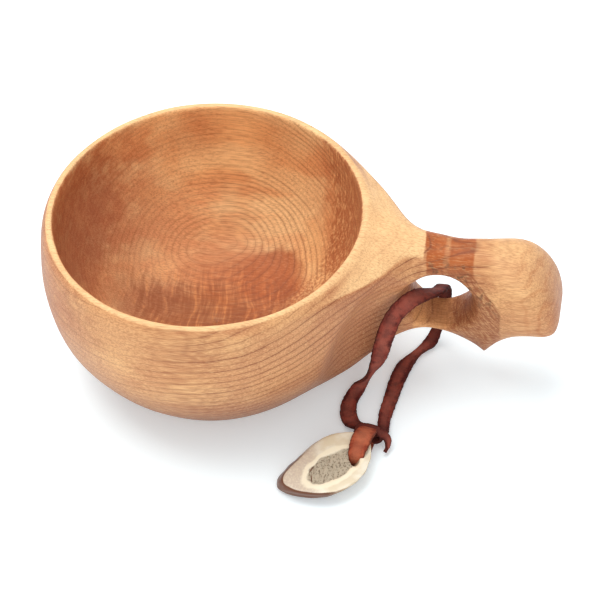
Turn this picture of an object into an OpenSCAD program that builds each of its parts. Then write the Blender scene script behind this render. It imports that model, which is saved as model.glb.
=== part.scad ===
// Nordic drinking cup (kuksa): a bowl and a grip carved from one block of birch,
// with a leather lace looped through the finger hole and an antler slice tied to it.
// Millimetres. Z is up, the foot stands on z = 0, the bowl's axis is the Z axis
// and the grip points along +X.

/* [Bowl] */
// Height of the rim above the foot
cup_h = 61; // [52:1:72]
// Outer radius at the widest place of the bowl
belly_r = 55.3; // [50:0.1:62]
// Thickness of the wall below the rim
wall_t = 4.6; // [3:0.1:7]
// Thickness of the floor in the middle of the bowl
floor_t = 8.5; // [5:0.5:14]

/* [Grip] */
// Distance from the bowl's axis to the end of the grip
grip_reach = 115.6; // [112:0.1:122]
// Depth of the pointed fin under the grip
fin_depth = 12; // [4:0.5:13]
// Length of the finger hole along the grip
hole_l = 18.8; // [14:0.2:19]
// Height of the finger hole
hole_h = 23.6; // [18:0.2:24]

/* [Lace] */
// Width of the flat leather lace
lace_w = 5; // [4:0.1:5]
// Thickness of the lace
lace_t = 1.6; // [1:0.1:1.6]

/* [Charm] */
// Length of the antler slice
charm_l = 36; // [32:1:38]
// Widest breadth of the antler slice
charm_w = 21.6; // [18:0.2:22]
// Thickness of the antler slice
charm_t = 5.4; // [4:0.2:6]

/* [Hidden] */
wood = [0.83, 0.62, 0.38];
leather = [0.42, 0.17, 0.11];
horn = [0.88, 0.83, 0.70];

// Bowl outline as [radius / belly_r, height / cup_h], from the foot to the lip.
bowl_shape = [[0.58, 0], [0.69, 0.04], [0.81, 0.16], [0.91, 0.3], [0.975, 0.45], [1, 0.62],
    [0.995, 0.79], [0.975, 0.92], [0.95, 0.98], [0.92, 1]];
// Hollow as [radius / mouth_r, height above the floor / depth], from the middle to the mouth.
hollow_shape = [[0.36, 0.02], [0.68, 0.12], [0.88, 0.33], [0.98, 0.6], [1.005, 0.79], [1, 0.96], [1.015, 1]];
mouth_r = belly_r - wall_t - 0.7;

// Stations along the grip: [x, top z, underside z, half width at the top, half width at the bar].
// The fin is added to the underside by fin(x).
stations = [[22, 60, 1.5, 38, 30], [32, 60.3, 1.5, 39.5, 26], [44, 60.4, 3.4, 37, 21], [54, 60, 10, 28.5, 17],
    [62, 57.8, 16.5, 20, 13.5], [69, 54.6, 19.3, 13.6, 10.2], [76, 53, 19.8, 10.6, 9.2],
    [84, 53, 20.5, 10, 9.2], [93, 53, 21.8, 12, 10.5], [101, 51.5, 23, 13.8, 13.2], [117, 49, 25.5, 15, 15]];
low_z = 24;
high_z = 50;
// The grip's end is rounded over this length.
end_l = 15;
squareness = 2.6;
fin_x = 90;
fin_back = 16;
fin_front = 11;

hole_x = 76;
hole_z = 36;
hole_tilt = 8;

scoop_at = [71.5, 35, 30];
scoop_r = 25;
scoop_h = 44;
scoop_tilt = 12;

// Route of the lace: out of the knot, up past the bowl, through the finger hole,
// down behind the bar and back to the knot along the surface the cup stands on.
route = [[53.4, -34.6, 2.2], [50.6, -32.4, 1.4], [48.8, -28.4, 1.1], [48.6, -23.6, 1.2], [50.6, -18.6, 2.6],
    [54, -16.8, 7.4], [56.8, -17, 14], [58.6, -17.8, 22], [60.4, -17.6, 30], [63, -16, 37],
    [66.6, -12.4, 39.6], [70, -7, 37.8], [72.8, -1, 33.2], [74.6, 4.8, 28.6], [75.6, 10.4, 24.8],
    [75.8, 12.8, 18.6], [75, 11.8, 11], [73.6, 9.6, 5], [71.6, 6, 1.6], [68, 1.2, 1.1], [64.6, -5, 1.1],
    [62.8, -12.4, 1.1], [61.8, -20.4, 1.1], [61, -28, 1.4], [61.2, -34.4, 2.2]];

knot_at = [57.3, -37.6, 3.4];
knot_turn = 259;
knot_r = 3.1;
core_r = 1.6;
eye_r = 2.9;
eye_w = 6;
band_t = 1.2;
turn_w = 2.4;
play = 0.3;

// Height of the slice's underside above the knot's axis, and the tip down to the surface.
charm_low = -1;
charm_tilt = 3.5;
hole_away = 15.9;
slice_mid = [20.7, -7.1];
slice_turn = -34;
// Outline of the slice as [x / charm_l, y / charm_w].
slice_shape = [[0.465, -0.11], [0.35, 0.19], [0.125, 0.45], [-0.14, 0.49], [-0.36, 0.31], [-0.5, -0.03],
    [-0.43, -0.33], [-0.19, -0.5], [0.11, -0.43], [0.36, -0.31]];

// A point of a smooth curve through four neighbouring points, t from 0 to 1 between b and c.
function through(a, b, c, d, t) =
    b + t * ((c - a) / 2 + t * ((2 * a - 5 * b + 4 * c - d) / 2 + t * (3 * b - a - 3 * c + d) / 2));
// Smooth curve through points, with n steps between each two.
function curve(p, n) = [
    for (i = [0:len(p) - 2])
        for (k = [0:n - 1])
            through(p[max(i - 1, 0)], p[i], p[i + 1], p[min(i + 2, len(p) - 1)], k / n),
    p[len(p) - 1]];
// The same, round and back to the first point.
function closed_curve(p, n) = let(m = len(p)) [
    for (i = [0:m - 1])
        for (k = [0:n - 1])
            through(p[(i + m - 1) % m], p[i], p[(i + 1) % m], p[(i + 2) % m], k / n)];
function scaled(p, sx, sy, dy = 0) = [for (q = p) [q[0] * sx, q[1] * sy + dy]];
function smooth(t) = let(u = min(max(t, 0), 1)) u * u * (3 - 2 * u);
function power(v, e) = sign(v) * pow(abs(v), e);

// Closed skin over rings that all have the same number of points.
module skin(rings) {
    n = len(rings[0]);
    last = (len(rings) - 1) * n;
    polyhedron(
        points = [for (r = rings) each r],
        faces = concat(
            [[for (i = [0:n - 1]) i]],
            [for (k = [0:len(rings) - 2]) for (i = [0:n - 1]) let(a = k * n + i, b = k * n + (i + 1) % n)
                each [[a, b + n, b], [a, a + n, b + n]]],
            [[for (i = [n - 1:-1:0]) last + i]]),
        convexity = 6);
}

module bowl_body()
    rotate([0, 0, 180])
        rotate_extrude($fn = 72)
        polygon(concat([[0, 0]], scaled(curve(bowl_shape, 3), belly_r, cup_h), [[0, cup_h]]));

module hollow()
    rotate([0, 0, 180])
        rotate_extrude($fn = 72)
        polygon(concat(
            [[0, floor_t]],
            scaled(curve(hollow_shape, 3), mouth_r, cup_h - floor_t, floor_t),
            [[mouth_r * 1.03, cup_h + 5], [0, cup_h + 5]]));

// How far the fin hangs below the underside at x.
function fin(x) = let(away = x < fin_x ? (fin_x - x) / fin_back : (x - fin_x) / fin_front)
    fin_depth * pow(max(1 - away, 0), 1.6);
// How full the section is near the grip's rounded end.
function fullness(x) = let(u = min(max((x - grip_reach + end_l) / end_l, 0), 0.998)) pow(1 - pow(u, 2.2), 0.45);

// One section of the grip, at the station s.
function section(s, n) =
    let(full = fullness(s[0]),
        z_mid = (s[1] + s[2] - fin(s[0])) / 2,
        half_h = full * (s[1] - s[2] + fin(s[0])) / 2)
    [for (i = [0:n - 1])
        let(a = 360 * i / n,
            z = z_mid + half_h * power(sin(a), 2 / squareness),
            half_w = s[4] + (s[3] - s[4]) * smooth((z - low_z) / (high_z - low_z)))
        [s[0], full * half_w * power(cos(a), 2 / squareness), z]];

// One column of the stations as a smooth lookup table over x.
function column(k) = [for (s = curve(stations, 6)) [s[0], s[k]]];
top_z = column(1);
under_z = column(2);
top_w = column(3);
bar_w = column(4);

module grip_blank() {
    straight = grip_reach - end_l;
    places = concat([for (x = [stations[0][0]:3:straight - 1]) x], [for (t = [0:12:84]) straight + end_l * sin(t)]);
    skin([for (x = places)
        section([x, lookup(x, top_z), lookup(x, under_z), lookup(x, top_w), lookup(x, bar_w)], 28)]);
}

// Hollow carved beside the finger hole, where the grip leaves the bowl.
module scoop(side)
    translate([scoop_at[0], side * scoop_at[1], scoop_at[2]])
        rotate([0, scoop_tilt, 0])
            rotate_extrude($fn = 48)
                polygon([for (a = [-90:15:90]) [scoop_r * cos(a), scoop_h * sin(a)]]);

// Oval hole for a finger, wider towards both faces.
module finger_hole()
    skin([for (y = [24:-4:-24])
        let(spread = min(y * y / 100, 3))
        [for (a = [0:15:345])
            let(u = cos(a) * hole_l / 2 * (1 + 0.35 * spread), v = sin(a) * hole_h / 2 * (1 + 0.1 * spread))
            [hole_x + u * cos(hole_tilt) - v * sin(hole_tilt), y, hole_z + u * sin(hole_tilt) + v * cos(hole_tilt)]]]);

module cup()
    color(wood)
        difference() {
            union() {
                bowl_body();
                grip_blank();
            }
            hollow();
            scoop(1);
            scoop(-1);
            finger_hole();
        }

// A flat tube along the route: its broad side stays as level along X as the route lets it.
module strap(route, w, t)
    skin([for (i = [0:len(route) - 1])
        let(way = unit(route[min(i + 1, len(route) - 1)] - route[max(i - 1, 0)]),
            across = unit([1, 0, 0] - way * way[0]),
            up = cross(way, across))
        [for (a = [22.5:45:337.5])
            route[i] + across * w / 2 * power(cos(a), 0.6) + up * t / 2 * power(sin(a), 0.6)]]);
function unit(v) = v / norm(v);

module lace()
    color(leather)
        strap(route, lace_w, lace_t);

// Everything tied to the knot is drawn about the knot's own axis: X runs towards the charm.
module at_knot()
    translate(knot_at)
        rotate([0, 0, knot_turn])
            children();

// A round bar lying along Y, centred on the origin.
module bar(r, l)
    rotate([90, 0, 0])
        cylinder(r = r, h = l, center = true, $fn = 48);

// The knot: a core that the charm's loop turns on, held between two turns of lace.
module lace_knot()
    color(leather)
        at_knot() {
            bar(core_r, eye_w + 2 * turn_w);
            for (side = [-1, 1])
                translate([0, side * (eye_w + turn_w) / 2 + side * play, 0])
                    bar(knot_r, turn_w);
        }

module tilted()
    at_knot()
        rotate([0, charm_tilt, 0])
            children();

// The band of leather from the knot, over the slice, down its hole and back underneath.
module charm_loop()
    color(leather)
        tilted()
            difference() {
                union() {
                    bar(eye_r, eye_w);
                    translate([0, -eye_w / 2, charm_low - band_t])
                        cube([hole_away + band_t / 2, eye_w, charm_t + 2 * band_t + play]);
                }
                bar(core_r + play, eye_w + 2);
                translate([eye_r + 0.1, -eye_w, charm_low])
                    cube([hole_away - band_t / 2 - eye_r - 0.1, 2 * eye_w, charm_t + play]);
            }

// Outline of the slice about its middle, the narrow end towards +X.
module slice_outline()
    polygon(scaled(closed_curve(slice_shape, 3), charm_l, charm_w));

module antler_charm()
    color(horn)
        tilted()
            difference() {
                translate([slice_mid[0], slice_mid[1], charm_low])
                    rotate([0, 0, slice_turn])
                        linear_extrude(charm_t)
                            slice_outline();
                // Slot that the band passes through, with room on every side.
                translate([hole_away - band_t / 2 - play, -eye_w / 2 - play, charm_low - 1])
                    cube([band_t + 2 * play, eye_w + 2 * play, charm_t + 2]);
            }

cup();
lace();
lace_knot();
charm_loop();
antler_charm();
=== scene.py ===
"""A kuksa: a Nordic drinking cup carved from birch, with a leather lace and an antler charm.

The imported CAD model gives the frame, the bodies and the joints. Every CAD node is replaced by a
detailed piece of the same size in the same place. Shapes are worked out in millimetres, as in the
CAD source, and become metres where a mesh is made.
"""
import math

import bpy
import numpy as np
from mathutils import Matrix, Vector


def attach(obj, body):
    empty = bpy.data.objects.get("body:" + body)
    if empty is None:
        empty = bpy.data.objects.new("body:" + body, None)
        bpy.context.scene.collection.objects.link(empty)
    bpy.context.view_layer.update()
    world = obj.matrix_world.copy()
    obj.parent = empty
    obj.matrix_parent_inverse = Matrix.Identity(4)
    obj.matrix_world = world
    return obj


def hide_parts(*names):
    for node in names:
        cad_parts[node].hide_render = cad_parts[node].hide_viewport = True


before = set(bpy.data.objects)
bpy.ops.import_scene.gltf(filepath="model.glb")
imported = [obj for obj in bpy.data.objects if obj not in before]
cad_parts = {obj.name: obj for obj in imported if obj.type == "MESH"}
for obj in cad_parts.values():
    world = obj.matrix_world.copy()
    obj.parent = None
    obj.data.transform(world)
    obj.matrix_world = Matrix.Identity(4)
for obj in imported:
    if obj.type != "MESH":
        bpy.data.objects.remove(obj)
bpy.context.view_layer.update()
MM = 0.001


# ---------------------------------------------------------------- camera

def add_camera(aim, azimuth, elevation, distance, roll, lens):
    """A camera that looks at aim from that direction, turned by roll about its own axis, in degrees."""
    a, e = math.radians(azimuth), math.radians(elevation)
    back = Vector((math.sin(a) * math.cos(e), -math.cos(a) * math.cos(e), math.sin(e)))
    data = bpy.data.cameras.new("camera")
    data.lens = lens
    camera = bpy.data.objects.new("camera", data)
    turn = back.to_track_quat("Z", "Y").to_matrix().to_4x4() @ Matrix.Rotation(math.radians(roll), 4, "Z")
    camera.matrix_world = Matrix.Translation(Vector(aim) + back * distance) @ turn
    bpy.context.scene.collection.objects.link(camera)
    bpy.context.scene.camera = camera


add_camera(aim=(0.029, 0, 0.023), azimuth=11.4, elevation=46.5, distance=0.9, roll=-3.2, lens=163)


# ---------------------------------------------------------------- curves and meshes

def catmull(points, steps, closed=False):
    """A smooth curve through points, with that many steps between each two."""
    p = np.array(points, float)
    n = len(p)
    out = []
    for i in range(n if closed else n - 1):
        if closed:
            a, b, c, d = (p[(i + k) % n] for k in (-1, 0, 1, 2))
        else:
            a, b, c, d = p[max(i - 1, 0)], p[i], p[i + 1], p[min(i + 2, n - 1)]
        t = np.linspace(0, 1, steps, endpoint=False)[:, None]
        square, cube = 2 * a - 5 * b + 4 * c - d, 3 * b - a - 3 * c + d
        out.append(b + t * (c - a + t * (square + t * cube)) / 2)
    if not closed:
        out.append(p[-1:])
    return np.concatenate(out)


def smoothstep(t):
    """0 where t is below 0, 1 where it is above 1, and a smooth rise between."""
    t = np.clip(t, 0, 1)
    return t * t * (3 - 2 * t)


def soft_max(a, b, k):
    """The larger of a and b, rounded where they cross over a width of k."""
    h = np.maximum(k - np.abs(a - b), 0) / k
    return np.maximum(a, b) + h * h * k / 4


def polygon_distance(polygon, x, y):
    """Signed distance to a closed polygon, negative inside."""
    px, py = x.ravel(), y.ravel()
    nearest = np.full(px.shape, np.inf)
    inside = np.zeros(px.shape, bool)
    for a, b in zip(polygon, np.roll(polygon, -1, axis=0)):
        e = b - a
        if e @ e < 1e-12:
            continue
        wx, wy = px - a[0], py - a[1]
        t = np.clip((wx * e[0] + wy * e[1]) / (e @ e), 0, 1)
        nearest = np.minimum(nearest, (wx - t * e[0]) ** 2 + (wy - t * e[1]) ** 2)
        if a[1] != b[1]:
            crosses = (a[1] > py) != (b[1] > py)
            inside ^= crosses & (px < e[0] * (py - a[1]) / e[1] + a[0])
    return np.where(inside, -1, 1).reshape(x.shape) * np.sqrt(nearest).reshape(x.shape)


class Outline:
    """The distance to a closed outline, looked up in a grid."""

    def __init__(self, polygon, low, high, step=0.5):
        self.low, self.step = np.array(low, float), step
        count = [int((h - l) / step) + 2 for l, h in zip(low, high)]
        axes = [l + np.arange(n) * step for l, n in zip(low, count)]
        self.values = polygon_distance(polygon, *np.meshgrid(*axes, indexing="ij"))

    def __call__(self, x, y):
        last = np.array(self.values.shape) - 1.001
        u = np.clip((x - self.low[0]) / self.step, 0, last[0])
        v = np.clip((y - self.low[1]) / self.step, 0, last[1])
        i, j = u.astype(int), v.astype(int)
        u, v = u - i, v - j
        here = self.values[i, j] * (1 - u) + self.values[i + 1, j] * u
        beyond = self.values[i, j + 1] * (1 - u) + self.values[i + 1, j + 1] * u
        return here * (1 - v) + beyond * v


CORNERS = [(i, j, k) for i in (0, 1) for j in (0, 1) for k in (0, 1)]


def net_points(field, cells):
    """A point in each cell: the mean of the places where the surface crosses the cell's edges."""
    total, found = np.zeros((len(cells), 3)), np.zeros(len(cells))
    for a in CORNERS:
        for axis in range(3):
            if a[axis]:
                continue
            b = np.array(a) + np.eye(3, dtype=int)[axis]
            va, vb = field[tuple((cells + a).T)], field[tuple((cells + b).T)]
            cut = (va < 0) != (vb < 0)
            t = va[cut] / (va[cut] - vb[cut])
            total[cut] += np.array(a) + t[:, None] * (b - np.array(a))
            found[cut] += 1
    return cells + total / found[:, None]


def net_faces(solid, index, axis):
    """The faces across grid edges along axis. Each joins the points of the four cells round its edge."""
    u, v = [k for k in range(3) if k != axis]
    first, second = [slice(None)] * 3, [slice(None)] * 3
    first[axis], second[axis] = slice(0, -1), slice(1, None)
    edges = np.argwhere(solid[tuple(first)] != solid[tuple(second)])
    inner = (edges[:, u] > 0) & (edges[:, v] > 0)
    edges = edges[inner & (edges[:, u] < solid.shape[u] - 1) & (edges[:, v] < solid.shape[v] - 1)]
    ring = []
    for du, dv in ((-1, -1), (0, -1), (0, 0), (-1, 0)):
        near = edges.copy()
        near[:, u] += du
        near[:, v] += dv
        ring.append(index[tuple(near.T)])
    ring = np.stack(ring, 1)
    keep = solid[tuple(edges.T)] != (axis == 1)
    ring[~keep] = ring[~keep][:, ::-1]
    return ring


def onto_surface(points, distance, longest):
    """The points, moved by two Newton steps onto the surface. No step is longer than longest."""
    reach = 0.3
    for _ in range(2):
        here = distance(*points.T)
        rise = [distance(*(points + d).T) - distance(*(points - d).T) for d in np.eye(3) * reach]
        slope = np.stack(rise, 1) / (2 * reach)
        move = -here[:, None] * slope / np.maximum((slope ** 2).sum(1), 0.2)[:, None]
        far = np.linalg.norm(move, axis=1)[:, None]
        points = points + move * np.minimum(1, longest / np.maximum(far, 1e-6))
    return points


def carve(distance, low, high, step):
    """The surface where distance(x, y, z) is zero, as (points, four-sided faces), by surface nets."""
    low = np.array(low, float)
    count = ((np.array(high) - low) / step).astype(int) + 1
    axes = [l + np.arange(n) * step for l, n in zip(low, count)]
    field = distance(*np.meshgrid(*axes, indexing="ij"))
    solid = field < 0
    wide, deep, tall = (n - 1 for n in field.shape)
    filled = sum(solid[i:i + wide, j:j + deep, k:k + tall].astype(np.int8) for i, j, k in CORNERS)
    cells = np.argwhere((filled > 0) & (filled < len(CORNERS)))
    index = np.full((wide, deep, tall), -1)
    index[tuple(cells.T)] = np.arange(len(cells))
    points = onto_surface(net_points(field, cells) * step + low, distance, step)
    return points, np.concatenate([net_faces(solid, index, axis) for axis in range(3)]).tolist()


def piece(name, points, faces, body, node, slot, material, **marks):
    """A smooth mesh piece from points in millimetres, which rides on a body and stands for a CAD node.

    marks are attributes for its material to read, each a name and a value for every point."""
    mesh = bpy.data.meshes.new(name)
    mesh.from_pydata((points * MM).tolist(), [], faces)
    for mark, values in marks.items():
        mesh.attributes.new(mark, "FLOAT", "POINT").data.foreach_set("value", values)
    mesh.validate()
    mesh.shade_smooth()
    mesh.materials.append(material)
    obj = bpy.data.objects.new(name, mesh)
    bpy.context.scene.collection.objects.link(obj)
    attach(obj, body)
    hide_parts(node)
    return obj


def waves(x, y, z, length, seed):
    """A smooth wobble between about -1 and 1, the sum of a few crossed waves."""
    rng = np.random.default_rng(seed)
    total = 0
    for _ in range(5):
        way = rng.normal(size=3)
        way *= 2 * math.pi / (length * rng.uniform(0.7, 1.4) * np.linalg.norm(way))
        total = total + np.sin(way[0] * x + way[1] * y + way[2] * z + rng.uniform(0, 2 * math.pi))
    return total / 3


# ---------------------------------------------------------------- shader graphs

def srgb(*screen):
    """A colour from 0-255 screen values to the linear values of a shader."""
    linear = [((c / 255 + 0.055) / 1.055) ** 2.4 if c > 10 else c / 255 / 12.92 for c in screen]
    return (*linear, 1.0)


class Graph:
    """A material's node graph. Points are in millimetres in the row frame."""

    def __init__(self, name, roughness, specular):
        self.material = bpy.data.materials.new(name)
        self.material.use_nodes = True
        self.tree = self.material.node_tree
        self.tree.nodes.clear()
        self.shader = self.node("BsdfPrincipled")
        self.shader.inputs["Roughness"].default_value = roughness
        self.shader.inputs["Specular IOR Level"].default_value = specular
        self.tree.links.new(self.shader.outputs[0], self.node("OutputMaterial").inputs["Surface"])
        place = self.node("TexCoord")
        self.normal = place.outputs["Normal"]
        self.at = self.vector("SCALE", place.outputs["Object"], scale=1 / MM)
        self.color = None

    def node(self, kind):
        return self.tree.nodes.new("ShaderNode" + kind)

    def put(self, socket, value):
        """Sets a socket to a number or a colour, or links another node's output to it."""
        if isinstance(value, bpy.types.NodeSocket):
            self.tree.links.new(value, socket)
        elif value is not None:
            socket.default_value = value

    def math(self, operation, *values):
        node = self.node("Math")
        node.operation = operation
        for socket, value in zip(node.inputs, values):
            self.put(socket, value)
        return node.outputs[0]

    def times(self, product, *others):
        """The product of the values."""
        for other in others:
            product = self.math("MULTIPLY", product, other)
        return product

    def plus(self, total, *others):
        """The sum of the values."""
        for other in others:
            total = self.math("ADD", total, other)
        return total

    def minus(self, a, b):
        return self.math("SUBTRACT", a, b)

    def absolute(self, value):
        return self.math("ABSOLUTE", value)

    def ramp(self, value, slope, start):
        """start, plus slope for each unit of value."""
        return self.math("MULTIPLY_ADD", value, slope, start)

    def ripple(self, value, length):
        """Waves from -1 to 1, of that length along value."""
        return self.math("SINE", self.times(value, 2 * math.pi / length))

    def vector(self, operation, a, b=None, scale=None):
        node = self.node("VectorMath")
        node.operation = operation
        self.put(node.inputs[0], a)
        self.put(node.inputs[1], b)
        if operation == "SCALE":
            self.put(node.inputs["Scale"], scale)
        return node.outputs["Value" if operation == "LENGTH" else "Vector"]

    def split(self, vector):
        """The X, Y and Z of a vector."""
        node = self.node("SeparateXYZ")
        self.put(node.inputs[0], vector)
        return list(node.outputs)

    def attribute(self, name):
        """A mark on the mesh: inner is 1 inside the hollow, and edge is 1 at the cut edge of a strap."""
        node = self.node("Attribute")
        node.attribute_name = name
        return node.outputs["Fac"]

    def noise(self, size, detail=2, rough=0.5, at=None):
        """Noise from 0 to 1. size is how long its lumps are along X, Y and Z, in millimetres."""
        node = self.node("TexNoise")
        size = size if hasattr(size, "__len__") else (size,) * 3
        self.put(node.inputs["Vector"], self.vector("DIVIDE", at or self.at, size))
        node.inputs["Scale"].default_value = 1
        node.inputs["Detail"].default_value = detail
        node.inputs["Roughness"].default_value = rough
        return node.outputs[0]

    def shaken(self, at, size, amount):
        """The point at, moved by smooth noise with lumps of that size."""
        node = self.node("TexNoise")
        self.put(node.inputs["Vector"], self.vector("DIVIDE", at, (size,) * 3))
        node.inputs["Scale"].default_value = 1
        middle = self.vector("SUBTRACT", node.outputs["Color"], (0.5, 0.5, 0.5))
        return self.vector("ADD", at, self.vector("SCALE", middle, scale=amount))

    def turned(self, at, axis, angle):
        """The point at, turned by that angle about the X, Y or Z axis."""
        node = self.node("VectorRotate")
        node.rotation_type = f"{axis}_AXIS"
        self.put(node.inputs["Vector"], at)
        node.inputs["Angle"].default_value = angle
        return node.outputs[0]

    def between(self, value, low, high, to_low=0, to_high=1):
        """A smooth step from to_low where value is low to to_high where it is high."""
        node = self.node("MapRange")
        node.interpolation_type = "SMOOTHSTEP"
        for name, number in (("Value", value), ("From Min", low), ("From Max", high),
                             ("To Min", to_low), ("To Max", to_high)):
            self.put(node.inputs[name], number)
        return node.outputs[0]

    def spot(self, centre, radii, soft=0.4, at=None):
        """1 inside an ellipsoid and 0 outside, over a soft edge that is a share of its radii."""
        away = self.vector("DIVIDE", self.vector("SUBTRACT", at or self.at, centre), radii)
        return self.between(self.vector("LENGTH", away), 1 - soft, 1 + soft, 1, 0)

    def mix(self, share, a, b):
        node = self.node("Mix")
        node.data_type = "RGBA"
        self.put(node.inputs["Factor"], share)
        self.put(node.inputs[6], a)
        self.put(node.inputs[7], b)
        return node.outputs[2]

    def paint(self, share, tint):
        """Lays a tint over the colour so far. share is how much of it covers, from 0 to 1."""
        self.color = self.mix(share, self.color, tint)

    def bump(self, height, depth):
        """Roughens the surface by height, which is in units of depth millimetres."""
        node = self.node("Bump")
        node.inputs["Strength"].default_value = 1
        node.inputs["Distance"].default_value = depth * MM
        self.put(node.inputs["Height"], height)
        self.tree.links.new(node.outputs[0], self.shader.inputs["Normal"])

    def finish(self, roughness=None):
        """The material, with the colour painted so far."""
        self.put(self.shader.inputs["Base Color"], self.color)
        self.put(self.shader.inputs["Roughness"], roughness)
        return self.material


# ---------------------------------------------------------------- birch

CREAM, BROWN = srgb(244, 200, 144), srgb(138, 74, 46)
RUST, RUSSET = srgb(172, 84, 30), srgb(236, 168, 112)
# Wood of other colours in its own places on the cup, and painted shade and painted light in a few places:
# centre, radii, softness, colour and share.
STAINS_AND_PAINTED_LIGHT = [
    ((-6, 2, 9), (42, 12, 8), 0.5, srgb(152, 82, 42), 0.85),
    ((16, 21, 11), (12, 11, 8), 0.25, srgb(164, 76, 28), 0.8),
    ((6, 17, 11), (19, 11, 8), 0.6, srgb(186, 100, 44), 0.75),
    ((29, 25, 19), (6, 9, 8), 0.6, srgb(250, 200, 136), 0.5),
    # Painted shade: the next two darken the left wall inside the bowl.
    ((-48, 8, 40), (13, 30, 20), 0.5, srgb(132, 66, 42), 0.6),
    ((-38, 8, 24), (22, 42, 24), 0.5, srgb(196, 136, 104), 0.4),
    # Painted light on the far wall inside the bowl.
    ((2, 48, 46), (30, 10, 18), 0.6, srgb(255, 190, 120), 0.3),
    ((-1, 30, 13), (18, 12, 8), 0.6, srgb(190, 120, 76), 0.35),
    ((-14, 47, 48), (10, 8, 9), 0.6, srgb(184, 92, 44), 0.35),
    ((14, 48, 46), (8, 8, 14), 0.6, srgb(190, 100, 50), 0.3),
    ((26, -46, 36), (20, 8, 16), 0.6, srgb(178, 112, 76), 0.45),
    ((30, -40, 42), (24, 16, 12), 0.6, srgb(246, 190, 134), 0.35),
    ((-30, -42, 30), (14, 12, 14), 0.6, srgb(222, 170, 128), 0.5)]
# The growth layers' rise along X outside, and their lean along X and Y inside.
RISE, INNER_LEAN = -0.15, (0.06, -0.52)
# The radius that the hollow is bent to low down, and how far apart year rings are outside and inside.
BOWL_BEND, OUTER_YEAR, INNER_YEAR = 42, 2.5, 1.8
CURL_LENGTH, ARC_LENGTH, HATCH_TURN = 6.5, 3.4, math.radians(-48)


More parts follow.
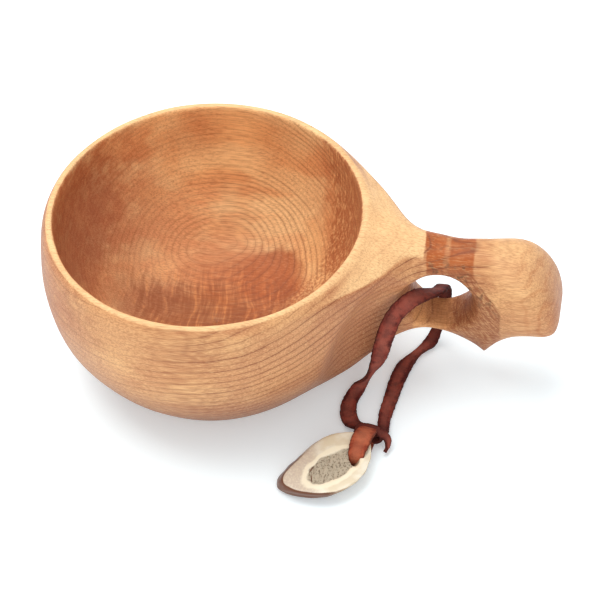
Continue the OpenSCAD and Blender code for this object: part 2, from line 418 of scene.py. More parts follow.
class Birch(Graph):
    """Oiled birch. Its methods each paint one thing that shows in the wood, in the order of birch()."""

    def __init__(self):
        super().__init__("birch", roughness=0.48, specular=0.2)
        self.x, self.y, self.z = self.split(self.at)
        nx, _, self.up = self.split(self.normal)
        self.end_on = self.absolute(nx)
        self.inner = self.attribute("inner")
        self.blotch = self.noise((5, 3.5, 3.5), detail=5, rough=0.7)
        self.place = self.shaken(self.at, 9, 9)
        # X with a slightly ragged edge, for where one kind of wood meets the next.
        self.ragged = self.plus(self.x, self.ramp(self.noise(5, detail=2), 1.6, -0.8))
        top = self.times(self.between(self.up, 0.64, 0.8), self.between(self.z, 50, 53))
        self.fan = self.times(top, self.between(self.x, 71.5, 70.8))
        self.knob = self.times(self.between(self.up, 0.1, 0.8), self.between(self.x, 90, 96))

    def ground(self):
        """Broad tone, stretched along the grain: honey outside and amber inside."""
        honey, tan, gold = srgb(220, 162, 110), srgb(202, 140, 94), srgb(234, 180, 124)
        toast, amber = srgb(252, 194, 132), srgb(255, 212, 152)
        cloud = self.noise((34, 18, 18), detail=4, rough=0.62)
        light = self.noise((30, 12, 12), detail=3, at=self.vector("ADD", self.at, (90, 40, 10)))
        outside = self.mix(self.between(cloud, 0.34, 0.62), honey, tan)
        outside = self.mix(self.between(light, 0.46, 0.68, 0, 0.75), outside, gold)
        inside = self.mix(self.between(cloud, 0.38, 0.6), toast, RUSSET)
        inside = self.mix(self.between(light, 0.4, 0.64), inside, amber)
        self.color = self.mix(self.inner, outside, inside)

    def end_grain(self):
        """End grain soaks up more oil, so a surface that faces along X is redder and mottled."""
        mottle = self.between(self.blotch, 0.3, 0.62, 0.15, 0.85)
        end = self.times(self.between(self.end_on, 0.35, 0.9), mottle)
        self.paint(end, self.mix(self.inner, srgb(190, 122, 82), srgb(188, 108, 64)))

    def wall_by_grip(self):
        """The hollow's wall by the grip is cut across the grain: short dark and pale streaks."""
        streaks = self.noise((0.9, 0.9, 7), detail=4, rough=0.7)
        angle = self.math("DEGREES", self.math("ARCTAN2", self.absolute(self.y), self.x))
        wavy = self.ramp(self.noise((9, 9, 14), detail=2), 16, self.minus(angle, 8))
        beyond = self.minus(self.ramp(self.z, 0.38, 28.5), wavy)
        across = self.times(self.inner, self.between(beyond, -3, 3))
        self.paint(self.times(across, self.between(streaks, 0.38, 0.6, 0.2, 0.8)), srgb(170, 98, 58))
        self.paint(self.times(across, self.between(streaks, 0.48, 0.38, 0, 0.7)), srgb(248, 192, 130))
        self.paint(self.times(self.inner, self.between(self.absolute(beyond), 2.2, 0.2), 0.35), RUSSET)

    def curl(self):
        """Soft bands across the grain, that show in places."""
        bent = self.ramp(self.noise((26, 9, 9), detail=3), 34, self.x)
        bands = self.ramp(self.ripple(bent, CURL_LENGTH), 0.5, 0.5)
        shown = self.between(self.noise((26, 22, 18), detail=2), 0.44, 0.62, 0.1, 1)
        self.paint(self.times(bands, shown, self.between(self.inner, 0, 1, 0.24, 0.06)), BROWN)

    def stains_and_painted_light(self):
        # Wood of other colours, and in a few places painted shade and painted light.
        for centre, radii, soft, tint, share in STAINS_AND_PAINTED_LIGHT:
            self.paint(self.times(self.spot(centre, radii, soft, self.place), share), tint)

    def bottom(self):
        """Flames cross the grain low in the bowl, and painted shade darkens the outside towards the foot."""
        flame = self.noise((1.5, 12, 8), detail=3, rough=0.6, at=self.shaken(self.at, 22, 8))
        low = self.times(self.spot((0, 6, 9), (40, 16, 9), 0.4, self.place), self.inner)
        self.paint(self.times(low, self.between(flame, 0.4, 0.62, 0, 0.5)), srgb(134, 68, 34))
        self.paint(self.times(low, self.between(flame, 0.46, 0.32, 0, 0.3)), srgb(238, 160, 92))
        # Painted shade: the outside is darker towards the foot.
        foot = self.times(self.between(self.z, 40, 6), self.minus(1, self.inner))
        self.paint(foot, srgb(152, 103, 74))

    def pale_faces(self):
        """The fan between the rim and the neck and the knob's top are the palest wood."""
        mottle = self.between(self.noise((16, 7, 7), detail=3), 0.3, 0.6, 0.95, 0.66)
        self.paint(self.times(mottle, self.fan), CREAM)
        self.paint(self.times(self.knob, 0.35), CREAM)

    def knob_arcs(self):
        """Red arcs round the hole's side cross the knob, and are clearest at its end."""
        away = self.vector("MULTIPLY", self.vector("SUBTRACT", self.place, (84, 3, 40)), (1, 1.1, 0.6))
        arcs = self.between(self.ripple(self.vector("LENGTH", away), ARC_LENGTH), 0.2, 1)
        self.paint(self.times(arcs, self.between(self.x, 97, 108, 0, 0.26)), RUST)

    def neck(self):
        """A band of red wood at the neck, a paler bar, and a brown face from the hole to the fin."""
        start = self.ramp(self.y, 0.12, self.ragged)
        end = self.plus(self.ragged, self.between(self.z, 52, 37, 0, -9.5))
        neck = self.times(self.between(start, 70.9, 71.5), self.between(end, 87.6, 86.6))
        band = self.times(neck, self.between(self.z, 48.5, 52))
        streak = self.between(self.absolute(self.minus(self.ragged, 78.4)), 0.2, 1.3, 0.35, 0.95)
        self.paint(self.times(band, streak, self.between(self.blotch, 0.3, 0.6, 0.8, 1)), RUST)
        bar = self.times(self.between(self.x, 60, 68), self.between(self.x, 84, 78))
        self.paint(self.times(bar, self.between(self.z, 32, 26), 0.6), srgb(240, 168, 104))
        hatch = self.noise((3, 3, 0.55), detail=3, rough=0.6, at=self.turned(self.at, "Y", HATCH_TURN))
        beside, above = self.between(self.x, 77, 82, 0.35, 1), self.between(self.z, 45, 48, 0, 0.9)
        face = self.times(neck, self.between(self.z, 53, 50), self.math("MAXIMUM", beside, above))
        self.paint(self.times(face, self.between(hatch, 0.38, 0.6, 0.3, 0.95)), srgb(152, 88, 54))
        knots = self.between(self.noise((2.2, 2.2, 2.2), detail=1), 0.54, 0.64)
        level = self.times(self.between(self.z, 53.5, 51.5, 0.3, 0.8), self.between(self.z, 30, 46))
        self.paint(self.times(knots, level, neck), srgb(104, 70, 46))

    def flanks(self):
        """The scooped flanks show end grain, up to a rounded edge beside the hole."""
        until = self.plus(self.ragged, self.between(self.z, 45, 54, 0, 6))
        along = self.times(self.between(self.x, 30, 56), self.between(until, 68.4, 67.2))
        flank = self.times(along, self.between(self.up, 0.7, 0.56))
        self.paint(self.times(flank, self.between(self.blotch, 0.3, 0.66, 0.5, 0.85)), srgb(184, 120, 82))

    def layers(self):
        """Years of growth, and how far a place in the hollow is from the middle of its rings.

        Layers are nearly level outside, and rise towards the grip. Inside the bowl they lean towards
        +Y, and years are counted along the surface from the place where it lies along a layer, so
        that the lines stay evenly apart."""
        slow = self.minus(self.noise((52, 40, 40), detail=1), 0.5)
        quick = self.minus(self.noise((24, 8, 8), detail=2), 0.5)
        level = self.plus(self.ramp(self.x, RISE, self.z), self.times(slow, 8))
        outside = self.math("DIVIDE", self.ramp(quick, 1.6, level), OUTER_YEAR)
        lean = self.ramp(self.y, INNER_LEAN[1], self.ramp(self.x, INNER_LEAN[0], self.z))
        slope = math.hypot(*INNER_LEAN)
        lowest = min(h - slope * r for r, h in catmull(HOLLOW, 10))
        above = self.minus(self.ramp(slow, 5, lean), lowest)
        along = self.math("SQRT", self.math("MAXIMUM", self.times(above, 2 * BOWL_BEND), 1))
        inside = self.math("DIVIDE", self.ramp(quick, 1.6, along), INNER_YEAR)
        year = self.plus(self.times(outside, self.minus(1, self.inner)), self.times(inside, self.inner))
        return year, along

    def year_lines(self):
        """How dark the year rings are: a thin line in a wide soft one, some years stronger than others."""
        year, along = self.layers()
        part = self.absolute(self.minus(self.math("FRACT", year), 0.5))
        thin = self.between(part, 0, 0.1, self.between(self.inner, 0, 1, 0.58, 0.25), 0)
        wide = self.between(part, 0, 0.5, 0.2, 0)
        which = self.node("TexWhiteNoise")
        which.noise_dimensions = "1D"
        self.put(which.inputs["W"], self.math("FLOOR", year))
        weight = self.between(which.outputs["Value"], 0, 1, 0.5, 1)
        patchy = self.between(self.noise((30, 18, 18), detail=3, rough=0.6), 0.34, 0.62, 0.55, 1.1)
        # Lines are strongest towards the grip, and weak on the knob and in the middle of the rings.
        strength = self.plus(self.times(self.inner, 0.15), self.between(self.x, -30, 30, 0.6, 1.3))
        strength = self.times(strength, self.between(self.x, 86, 97, 1, 0.35))
        middle = self.times(self.inner, self.between(along, 18, 5))
        strength = self.times(strength, self.between(middle, 0, 1, 1, 0.3))
        return self.times(self.plus(thin, wide), weight, self.times(patchy, strength))

    def lines_and_fibres(self):
        """Year rings, fibres and pores, fainter on the pale faces. Returns how rough they leave it."""
        calm = self.times(self.between(self.fan, 0, 1, 1, 0.22), self.between(self.knob, 0, 1, 1, 0.5))
        ring = self.times(self.year_lines(), calm)
        self.paint(ring, srgb(124, 66, 40))
        fibre = self.noise((6, 0.34, 0.34), detail=3, rough=0.65)
        fleck = self.noise((0.6, 0.6, 1.5), detail=3, rough=0.7)
        self.paint(self.between(fibre, 0.42, 0.68, 0, 0.4), BROWN)
        pale = self.between(fibre, 0.48, 0.3, 0, 0.3)
        self.paint(self.times(pale, self.between(self.inner, 0, 1, 1, 0.4)), CREAM)
        pores = self.between(fleck, 0.54, 0.7, 0, 0.34)
        self.paint(self.times(pores, self.between(self.end_on, 0.1, 0.7, 0.3, 1), calm), BROWN)
        self.bump(self.plus(fibre, self.times(ring, -0.8)), 0.05)
        return self.between(fibre, 0.3, 0.7, 0.4, 0.54)


def birch():
    """The material of the cup."""
    wood = Birch()
    wood.ground()
    wood.end_grain()
    wood.wall_by_grip()
    wood.curl()
    wood.stains_and_painted_light()
    wood.bottom()
    wood.pale_faces()
    wood.knob_arcs()
    wood.neck()
    wood.flanks()
    return wood.finish(wood.lines_and_fibres())


# ---------------------------------------------------------------- leather

def leather(name, dark, mid, glint, grain, darker_and_shaded=()):
    """Cut leather: a mottled face with a nap of that grain in millimetres, with painted highlights and shade.

    It is painted darker at the listed places, each a (middle, radii, share).
    By the finger hole this is painted shade."""
    g = Graph(name, roughness=0.78, specular=0.15)
    mottle = g.noise(2.6, detail=3, rough=0.6)
    nap = g.noise(grain, detail=4, rough=0.7)
    highlight_and_dark_patches = g.noise(8, detail=2)
    g.color = g.mix(g.between(mottle, 0.36, 0.64), dark, mid)
    # Painted highlight on some broad patches, and darker mottling on others.
    g.paint(g.between(highlight_and_dark_patches, 0.52, 0.66, 0, 0.2), glint)
    g.paint(g.between(highlight_and_dark_patches, 0.48, 0.34, 0, 0.5), dark)
    # Specks of painted highlight, and darker specks, in the nap.
    g.paint(g.between(nap, 0.58, 0.75, 0, 0.55), glint)
    g.paint(g.between(nap, 0.42, 0.28, 0, 0.6), dark)
    # Painted shade along the strap's sides, and a painted highlight on the middle of its faces.
    edge = g.attribute("edge")
    g.paint(g.times(g.between(edge, 0.6, 1), g.between(nap, 0.35, 0.62, 0.95, 0.45)), srgb(54, 22, 17))
    g.paint(g.between(edge, 0.5, 0.1, 0, 0.3), glint)
    # Darker at the listed places; at the bend through the finger hole this is painted shade.
    for at, radii, share in darker_and_shaded:
        g.paint(g.times(g.spot(tuple(at), radii, 0.4), share), srgb(62, 20, 18))
    g.bump(g.plus(nap, g.times(mottle, 0.8)), 0.25)
    return g.finish(g.between(mottle, 0.3, 0.7, 0.7, 0.88))


# ---------------------------------------------------------------- the leather lace

# The lace's route, the same points as in the CAD source.
ROUTE = [[53.4, -34.6, 2.2], [50.6, -32.4, 1.4], [48.8, -28.4, 1.1], [48.6, -23.6, 1.2], [50.6, -18.6, 2.6],
         [54, -16.8, 7.4], [56.8, -17, 14], [58.6, -17.8, 22], [60.4, -17.6, 30], [63, -16, 37],
         [66.6, -12.4, 39.6], [70, -7, 37.8], [72.8, -1, 33.2], [74.6, 4.8, 28.6], [75.6, 10.4, 24.8],
         [75.8, 12.8, 18.6], [75, 11.8, 11], [73.6, 9.6, 5], [71.6, 6, 1.6], [68, 1.2, 1.1], [64.6, -5, 1.1],
         [62.8, -12.4, 1.1], [61.8, -20.4, 1.1], [61, -28, 1.4], [61.2, -34.4, 2.2]]
# Its width in millimetres and its twist in degrees at each of those points.
LACE_WIDTH = [4.4, 5.4, 5.6, 5.2, 4.6, 4, 4.8, 5.6, 5.8, 5.6, 5.6, 5.4, 5.2, 5, 4.6, 4.6, 4.4, 3.8, 4.4, 3.2,
              5.2, 5.3, 4.9, 4.4, 4]
LACE_TWIST = [0, 0, 0, 0, 15, 60, 25, 0, 0, 0, 34, 40, 20, 0, 0, 10, 20, 30, 5, 14, 0, 0, 0, 0, 0]
LACE_T, LACE_W = 1.5, 5
# The middle of the knot, the direction from it to the charm, and how far the charm leans there.
KNOT_AT, KNOT_TURN, CHARM_TILT = np.array([57.3, -37.6, 3.4]), math.radians(259), math.radians(3.5)


def strap(path, widths, thickness, across, rough, seed, twists=0):
    """A flat strip swept along a path, as (points, faces, nearness of each point to a cut edge).

    across is the way its breadth lies, and rough is how ragged its edges are, as a share of its width."""
    path = np.asarray(path, float)
    n = len(path)
    way = np.gradient(path, axis=0)
    way /= np.linalg.norm(way, axis=1)[:, None]
    side = across - way * (way @ across)[:, None]
    side /= np.linalg.norm(side, axis=1)[:, None]
    up = np.cross(way, side)
    t = np.radians(np.broadcast_to(twists, n))[:, None]
    side, up = side * np.cos(t) + up * np.sin(t), up * np.cos(t) - side * np.sin(t)
    sides = 20
    angle = np.arange(sides) * 2 * math.pi / sides
    u, v = (np.sign(f) * np.abs(f) ** 0.55 for f in (np.cos(angle), np.sin(angle)))
    rng = np.random.default_rng(seed)
    ragged = 1 + rough * rng.normal(size=(n, 2)).repeat(sides // 2, axis=1)
    wide, tall = np.broadcast_to(widths, n)[:, None] / 2 * ragged * u, thickness / 2 * v
    rings = path[:, None] + side[:, None] * wide[..., None] + up[:, None] * tall[:, None]
    k, i = np.meshgrid(np.arange(n - 1), np.arange(sides), indexing="ij")
    a, b = k * sides + i, k * sides + (i + 1) % sides
    faces = np.stack([a, b, b + sides, a + sides], -1).reshape(-1, 4).tolist()
    faces += [list(range(sides))[::-1], [(n - 1) * sides + j for j in range(sides)]]
    return rings.reshape(-1, 3), faces, np.tile(np.abs(np.cos(angle)), n)


def resampled(points, columns, spacing):
    """Points and value columns along the smooth curve through points, that far apart."""
    fine = catmull(np.column_stack([points, *columns]), 24)
    along = np.concatenate([[0], np.cumsum(np.linalg.norm(np.diff(fine[:, :3], axis=0), axis=1))])
    at = np.linspace(0, along[-1], int(along[-1] / spacing) + 1)
    out = np.column_stack([np.interp(at, along, c) for c in fine.T])
    return out[:, :3], out[:, 3:].T, along[-1]


def straps(name, parts, body, node, slot, material):
    """One piece from several straps."""
    faces, start = [], 0
    for points, own_faces, _ in parts:
        faces += [[start + i for i in q] for q in own_faces]
        start += len(points)
    points, edges = (np.concatenate([part[k] for part in parts]) for k in (0, 2))
    return piece(name, points, faces, body, node, slot, material, edge=edges)


# The knot is painted darker, and the bend through the finger hole gets painted shade.
DARKER_AND_SHADED = [(KNOT_AT, (8, 5.6, 7), 0.6), ((75, 10, 15), (9, 9.5, 17), 0.65)]
LEATHER = leather("red_brown_leather", srgb(82, 28, 25), srgb(136, 60, 48), srgb(186, 108, 90), 0.5, DARKER_AND_SHADED)
SUEDE = leather("suede", srgb(140, 58, 38), srgb(182, 92, 62), srgb(206, 130, 96), 0.35)

ALONG_X = np.array([1.0, 0, 0])
path, (widths, twists), lace_length = resampled(ROUTE, [LACE_WIDTH, LACE_TWIST], 0.7)
lace = straps(
    "leather_lace", [strap(path, widths, LACE_T, ALONG_X, rough=0.03, seed=2, twists=twists)],
    "strap", "lace", "lace_leather", LEATHER)


# ---------------------------------------------------------------- knot, flap and charm

# Thickness of the leather that is wrapped round the knot, and of the suede.
WRAP_T, SUEDE_T = 1.2, 1.1


def at_knot(points, tilt=0.0):
    """Points about the knot, with X towards the charm, to the row frame."""
    p = np.asarray(points, float)
    x = p[:, 0] * math.cos(tilt) + p[:, 2] * math.sin(tilt)
    z = p[:, 2] * math.cos(tilt) - p[:, 0] * math.sin(tilt)
    c, s = math.cos(KNOT_TURN), math.sin(KNOT_TURN)
    return np.column_stack([x * c - p[:, 1] * s, x * s + p[:, 1] * c, z]) + KNOT_AT


def make_knot():
    """Two crossing turns of lace round the strands, a short tail, and the strands' ends inside."""
    toward = at_knot([[1, 0, 0]])[0] - KNOT_AT
    parts = []
    for shift, lean, seed in ((-0.6, 0.5, 3), (1.0, -0.6, 5)):
        angle = np.radians(np.arange(-100, 264, 7))
        turn = np.column_stack([
            shift + lean * np.sin(angle), 4.5 * np.cos(angle), 0.2 + 2.2 * np.sin(angle)])
        parts.append(strap(at_knot(turn), 2.6, WRAP_T, toward, rough=0.05, seed=seed))
    tail, (w,), _ = resampled(
        at_knot([[0.4, 3.2, 1.6], [0.5, 5, 1], [1.4, 6.6, 0.2], [3.2, 7.2, -0.8], [5.2, 6.9, -1.6]]),
        [[3, 3, 2.6, 2, 1]], 0.6)
    parts.append(strap(tail, w, WRAP_T, np.array([0.3, 1.0, 0.2]), rough=0.06, seed=7))
    # The lace's two ends run on into the knot, where they narrow.
    for (before, end), inside, (w0, w1) in ((ROUTE[1::-1], [0.6, -1.2, 0], (4.3, 3.4)),
                                            (ROUTE[-2:], [0.6, 1.2, 0], (3.9, 3.4))):
        way = np.subtract(end, before) / np.linalg.norm(np.subtract(end, before))
        line, (w,), _ = resampled(
            [end - way * 2, end, end + way * 1.4, at_knot([inside])[0]], [[w0, w0, w0, w1]], 0.5)
        parts.append(strap(line, w, LACE_T - 0.08, ALONG_X, rough=0.03, seed=13))
    return straps("wrapped_knot", parts, "strap", "lace_knot", "lace_leather", LEATHER)


knot = make_knot()


def make_flap():
    """The folded suede strip from the knot through the slice's hole and back underneath."""
    line, (w,), _ = resampled(
        [[-0.6, 0, 1.6], [2.4, 0, 3.8], [6, 0, 5.6], [10, 0, 5.6], [12.6, 0, 4.9], [13.8, 0, 2.6],
         [13.8, 0, 0.2], [12.6, 0, -1.7], [9, 0, -1.75], [4, 0, -1.8], [0, 0, -1.7], [-2, 0, -0.6]],
        [[5, 6.4, 6.8, 6.4, 5.6, 4.8, 4.4, 4.6, 5, 5, 5, 4.6]], 0.6)
    across = at_knot([[0, 1, 0]])[0] - KNOT_AT
    strip = strap(at_knot(line, CHARM_TILT), w, SUEDE_T, across, rough=0.03, seed=11)
    return straps("suede_flap", [strip], "charm", "charm_loop", "suede", SUEDE)


flap = make_flap()

# The slice's place and turn about the knot, its height there, and its thickness.
SLICE_MID, SLICE_TURN = (20.7, -7.1), math.radians(-34)
SLICE_LOW, SLICE_T = -1.0, 5.4
# Its outline, as shares of its length and width.
SLICE_SIZE = np.array([36, 21.6])
SLICE_SHAPE = [[0.42, -0.11], [0.33, 0.17], [0.125, 0.45], [-0.14, 0.49], [-0.36, 0.31], [-0.5, -0.03],
               [-0.43, -0.33], [-0.19, -0.5], [0.11, -0.43], [0.36, -0.31]]
# The middle and the radii of the grey core, and the radii of the pale ring round it.
CORE_AT, CORE_RADII, CORE_RING = (-1.4, 0.8), (9.4, 4.7), (11.6, 6.6)
# The slice is cut aslant across the tine, so its foot lies further out than its face.
SLANT = np.array([-3, 2])
SLOT_AT, SLOT_RADII = (-9.5, 2.2), (1.7, 3.5)
# The box that the slice is carved in, and the size of its cells.
BOX_LOW, BOX_HIGH, SLICE_STEP = (-20, -13, -1.5), (20, 13, 7.5), 0.4


def slice_distance():
    """The distance function of the antler slice, in its own frame."""
    shape = catmull(np.array(SLICE_SHAPE) * SLICE_SIZE, 10, closed=True)
    outline = Outline(shape, (-22, -15), (22, 15), 0.25)
    bevel, doming = 0.9, 0.24

    def distance(x, y, z):
        flat = outline(x, y) + 0.12 * waves(x, y, z, 3.5, seed=8) + 0.3
        tall = np.abs(z - SLICE_T / 2) - SLICE_T / 2 + doming * np.hypot(x / 18, y / 11) ** 2
        a, b = flat + bevel, tall + bevel
        d = np.hypot(np.maximum(a, 0), np.maximum(b, 0)) + np.minimum(np.maximum(a, b), 0) - bevel
        # The spongy core is sunk a little, and pitted.
        core = np.hypot((x - CORE_AT[0]) / CORE_RADII[0], (y - CORE_AT[1]) / CORE_RADII[1])
        sunk = 0.35 * smoothstep((1.06 - core) / 0.2) * (1 + 0.8 * waves(x, y, z * 0, 1.3, seed=9))
        d = np.where(z > SLICE_T / 2, soft_max(d, tall + np.maximum(sunk, 0), 0.2), d)
        c, s = math.cos(SLICE_TURN), math.sin(SLICE_TURN)
        dx, dy = x - SLOT_AT[0], y - SLOT_AT[1]
        far = np.hypot((dx * c + dy * s) / SLOT_RADII[0], (dy * c - dx * s) / SLOT_RADII[1])
        return soft_max(d, (1 - far) * SLOT_RADII[0], 0.5)

    return distance


def antler():
    """Polished antler: a cream rim, a grey porous core, and dark bark left on the edge."""
    g = Graph("antler", roughness=0.42, specular=0.4)
    mid = at_knot([[*SLICE_MID, SLICE_LOW]], CHARM_TILT)[0]
    own = g.turned(g.vector("SUBTRACT", g.at, tuple(mid)), "Z", -SLICE_TURN - KNOT_TURN)
    x, y, z = g.split(own)
    up = g.split(g.normal)[2]
    soft = g.noise(5, detail=3, at=own)
    g.color = g.mix(g.between(soft, 0.35, 0.65), srgb(240, 231, 208), srgb(226, 211, 180))
    dust = g.noise(0.7, detail=3, rough=0.7, at=own)
    darker = g.between(g.ramp(y, -0.7, x), 1, 8)
    g.paint(g.times(darker, g.between(dust, 0.3, 0.6, 0.35, 1)), srgb(206, 188, 168))

    bent = g.shaken(own, 4, 2.4)
    ring = g.spot((*CORE_AT, 3), (*CORE_RING, 30), 0.06, bent)
    g.paint(g.times(ring, 0.8), srgb(250, 238, 208))
    core = g.spot((*CORE_AT, 3), (*CORE_RADII, 30), 0.07, bent)
    g.paint(core, srgb(190, 176, 152))
    cells = g.noise(0.55, detail=2, rough=0.7, at=own)
    pores = g.times(g.between(cells, 0.56, 0.64), core)
    g.paint(g.times(pores, 0.8), srgb(118, 100, 78))

    # Bark is left round the pointed end, and thinly along both long edges.
    ragged = g.noise(2.2, detail=3, at=own)
    side = g.times(g.between(up, 0.75, 0.5), g.between(ragged, 0.35, 0.6, 0.5, 0.95))
    g.paint(side, srgb(176, 146, 112))
    pointed_end = g.between(g.plus(x, g.times(ragged, 3)), 1, 8)
    g.paint(g.times(g.between(up, 0.95, 0.8), pointed_end), srgb(106, 60, 34))
    g.paint(g.times(g.between(z, 3.6, 1.5), side, 0.8), srgb(108, 66, 42))
    g.bump(g.minus(soft, pores), 0.2)
    return g.finish(g.between(core, 0, 1, 0.38, 0.8))


def make_slice():
    """The antler slice, carved flat, then turned and leaned into its place by the knot."""
    points, faces = carve(slice_distance(), BOX_LOW, BOX_HIGH, SLICE_STEP)
    c, s = math.cos(SLICE_TURN), math.sin(SLICE_TURN)
    local = np.column_stack([
        points[:, 0] * c - points[:, 1] * s + SLICE_MID[0],
        points[:, 0] * s + points[:, 1] * c + SLICE_MID[1],
        points[:, 2] + SLICE_LOW])
    placed = at_knot(local, CHARM_TILT)
    placed[:, :2] += SLANT * np.clip(1 - points[:, 2:] / SLICE_T, 0, 1)
    return piece("antler_slice", placed, faces, "charm", "antler_charm", "antler", antler())


charm = make_slice()


# ---------------------------------------------------------------- the cup

# Outside of the bowl as (radius, height), from the middle of the foot to the lip, and its hollow.
BOWL = [(0, 0), (32, 0), (38.3, 2.6), (44.6, 9.8), (50.2, 18.3), (53.8, 27.5), (55.3, 38), (55, 48),
        (54, 56), (52.6, 59.8), (51, 61)]
HOLLOW = [(0, 8.5), (18, 9.6), (34, 15), (44, 26), (49, 40), (50.2, 50), (50, 60), (50.8, 62), (51.5, 66)]
# The grip as (x, value): its top, its underside with the pointed fin, and its half width above and
# below the middle.
GRIP_TOP = [(30, 61), (48, 61), (54, 60.2), (62, 58.4), (71, 56.2), (80, 54.8), (91, 55), (102, 53.2),
            (108, 49.4), (112.5, 43.6), (114.6, 37.6), (115.3, 32)]
GRIP_UNDER = [(20, 0), (36, 0), (46, 4), (54, 10), (62, 16.5), (70, 19.5), (78, 18.4), (86, 14.4)]
FIN_TIP = (91, 10.2)
GRIP_UNDER_END = [(95.5, 17), (100.5, 21.8), (106, 23.4), (111.4, 23.6), (114.2, 25.2), (115.3, 30)]
HALF_TOP = [(20, 50), (32, 41.4), (36, 38.8), (44, 33), (54, 23.4), (62, 14.6), (69, 10.6), (76, 10.2),
            (84, 9.8), (93, 12), (101, 13.8), (108, 13.6), (112.5, 11.4), (114.8, 7.6), (115.6, 1)]
HALF_LOW = [(20, 40), (32, 33), (44, 26), (54, 19), (62, 13.5), (70, 10), (77, 9.2), (85, 9.2), (90, 9.6),
            (94, 11), (101, 13.6), (108, 13.4), (112.5, 11.6), (114.8, 8.4), (115.6, 3)]
# The grip's end, and the heights between which its half width goes from the lower to the upper one.
GRIP_END, LOW_Z, HIGH_Z = 115.2, 24, 50
# Sections of the grip are ovals of this squareness. By the bowl they have a crowned top with a crisp edge.
SQUARENESS, CROWN = 2.6, 4.6
SCOOP_AT, SCOOP_RADII, SCOOP_LEAN = (69, 35, 30), (26, 25.5, 44), 0.22
HOLE_AT, HOLE_RADII, HOLE_TILT = (76.3, 36), (9.9, 11.8), math.radians(8)
# How softly the grip runs into the bowl and the scoops into both, and how round the other edges are.
JOIN_BLEND, SCOOP_BLEND, EDGE_BLEND = 4, 2, 1.6
# The box that the cup is carved in, and the size of its cells.
CUP_LOW, CUP_HIGH, CUP_STEP = (-58.3, -58.3, -2.2), (118, 58.3, 64), 0.8


def turned_shape(profile):
    """The distance to a shape that is turned from a profile of (radius, height) points."""
    closed = np.array([*catmull(profile, 10), (0, profile[-1][1])])
    return Outline(closed, (0, -6), (130, 75))


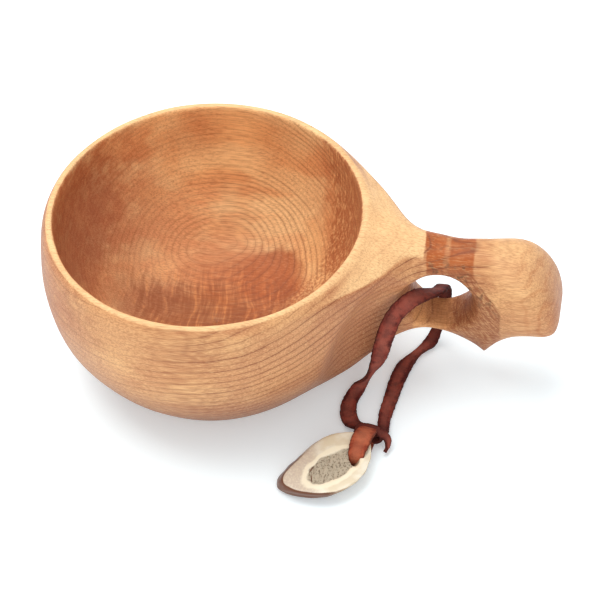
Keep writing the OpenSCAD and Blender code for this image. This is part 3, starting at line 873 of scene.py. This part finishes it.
def cup_distance(hollow):
    """The distance function of the carved cup, with that hollow."""
    bowl = turned_shape(BOWL)
    top, half_top, half_low = (catmull(p, 12) for p in (GRIP_TOP, HALF_TOP, HALF_LOW))
    under = np.concatenate([catmull([*GRIP_UNDER, FIN_TIP], 12), catmull([FIN_TIP, *GRIP_UNDER_END], 12)[1:]])

    def grip(x, y, z):
        """Ovals from the top to the underside, with a crowned and edged top that fades out along the grip."""
        z_top, z_low = np.interp(x, *top.T), np.interp(x, *under.T)
        half_h, z_mid = np.maximum((z_top - z_low) / 2, 0.3), (z_top + z_low) / 2
        t = smoothstep((z - LOW_Z) / (HIGH_Z - LOW_Z))
        half_w = np.maximum(np.interp(x, *half_low.T) * (1 - t) + np.interp(x, *half_top.T) * t, 0.3)
        across, tall = np.abs(y / half_w) ** SQUARENESS, np.abs((z - z_mid) / half_h) ** SQUARENESS
        far = (across + tall) ** (1 / SQUARENESS)
        oval = (far - 1) * np.minimum(half_w, half_h)
        crown = z_top - CROWN * np.minimum(np.abs(y) / half_w, 1.2) ** 2
        edged = soft_max(np.abs(y) - half_w, z - crown, 0.8 + 6 * smoothstep((x - 58) / 9))
        share = smoothstep((74 - x) / 10) * smoothstep((z - z_mid) / 8)
        block = np.maximum(oval + (edged - oval) * share, x - GRIP_END)
        return np.where(x < 15, np.maximum(block, 15 - x), block)

    def scoop(x, y, z):
        """The leaning ovals that hollow both flanks."""
        cx, cy, cz = SCOOP_AT
        rx, ry, rz = SCOOP_RADII
        lean = SCOOP_LEAN * (z - cz)
        far = np.sqrt(((x - cx - lean) / rx) ** 2 + ((np.abs(y) - cy) / ry) ** 2 + ((z - cz) / rz) ** 2)
        return (far - 1) * rx

    def finger_hole(x, y, z):
        """A tilted oval that flares towards both faces."""
        dx, dz = x - HOLE_AT[0], z - HOLE_AT[1]
        u = dx * math.cos(HOLE_TILT) + dz * math.sin(HOLE_TILT)
        v = dz * math.cos(HOLE_TILT) - dx * math.sin(HOLE_TILT)
        flare = np.minimum(y * y / 100, 3)
        far = np.hypot(u / (HOLE_RADII[0] * (1 + 0.35 * flare)), v / (HOLE_RADII[1] * (1 + 0.1 * flare)))
        return (far - 1) * HOLE_RADII[0]

    def distance(x, y, z):
        r = np.hypot(x, y)
        d = -soft_max(-bowl(r, z), -grip(x, y, z), JOIN_BLEND)
        d = soft_max(d, -scoop(x, y, z), SCOOP_BLEND)
        d = soft_max(d, -finger_hole(x, y, z), EDGE_BLEND)
        d = soft_max(d, -hollow(r, z), EDGE_BLEND)
        # A hand-carved surface waves a little.
        d = d + 0.1 * waves(x, y, z, 24, seed=4)
        return np.maximum(d, -z)

    return distance


def make_cup():
    """The carved cup, marked with what is inside the hollow."""
    hollow = turned_shape(HOLLOW)
    step = CUP_STEP
    points, faces = carve(cup_distance(hollow), CUP_LOW, CUP_HIGH, step)
    off = np.abs(hollow(np.hypot(points[:, 0], points[:, 1]), points[:, 2]))
    inner = 1 - smoothstep((off - 0.5) / 1.3)
    piece("carved_cup", points, faces, "cup", "cup", "birch", birch(), inner=inner)


make_cup()


# ---------------------------------------------------------------- floor and light

def add_floor():
    """Pale paper, which glows a little so that it looks as evenly lit as in a studio."""
    mesh = bpy.data.meshes.new("floor")
    half = 3
    corners = [(-half, -half, 0), (half, -half, 0), (half, half, 0), (-half, half, 0)]
    mesh.from_pydata(corners, [], [(0, 1, 2, 3)])
    g = Graph("floor_paper", roughness=0.9, specular=0.1)
    g.shader.inputs["Emission Color"].default_value = (0.94, 0.97, 1, 1)
    g.shader.inputs["Emission Strength"].default_value = 0.22
    g.color = srgb(240, 250, 252)
    mesh.materials.append(g.finish())
    floor = bpy.data.objects.new("floor", mesh)
    bpy.context.scene.collection.objects.link(floor)


def add_light(name, place, aim, size, watts):
    data = bpy.data.lights.new(name, "AREA")
    data.size, data.energy = size, watts
    light = bpy.data.objects.new(name, data)
    light.location = place
    light.rotation_euler = (Vector(place) - Vector(aim)).to_track_quat("Z", "Y").to_euler()
    bpy.context.scene.collection.objects.link(light)


def add_world(strength):
    world = bpy.data.worlds.new("studio")
    world.use_nodes = True
    background = world.node_tree.nodes["Background"]
    background.inputs["Color"].default_value = (0.95, 0.97, 1.0, 1)
    background.inputs["Strength"].default_value = strength
    bpy.context.scene.world = world


add_floor()
add_light("overhead_softbox", (-0.3, 0.25, 1.1), (0.02, 0, 0), 1.0, 11.5)
add_light("front_fill", (0.3, -1.1, 0.7), (0.03, 0, 0.03), 0.8, 3.6)
add_world(0.72)
bpy.context.scene.view_settings.view_transform = "Standard"
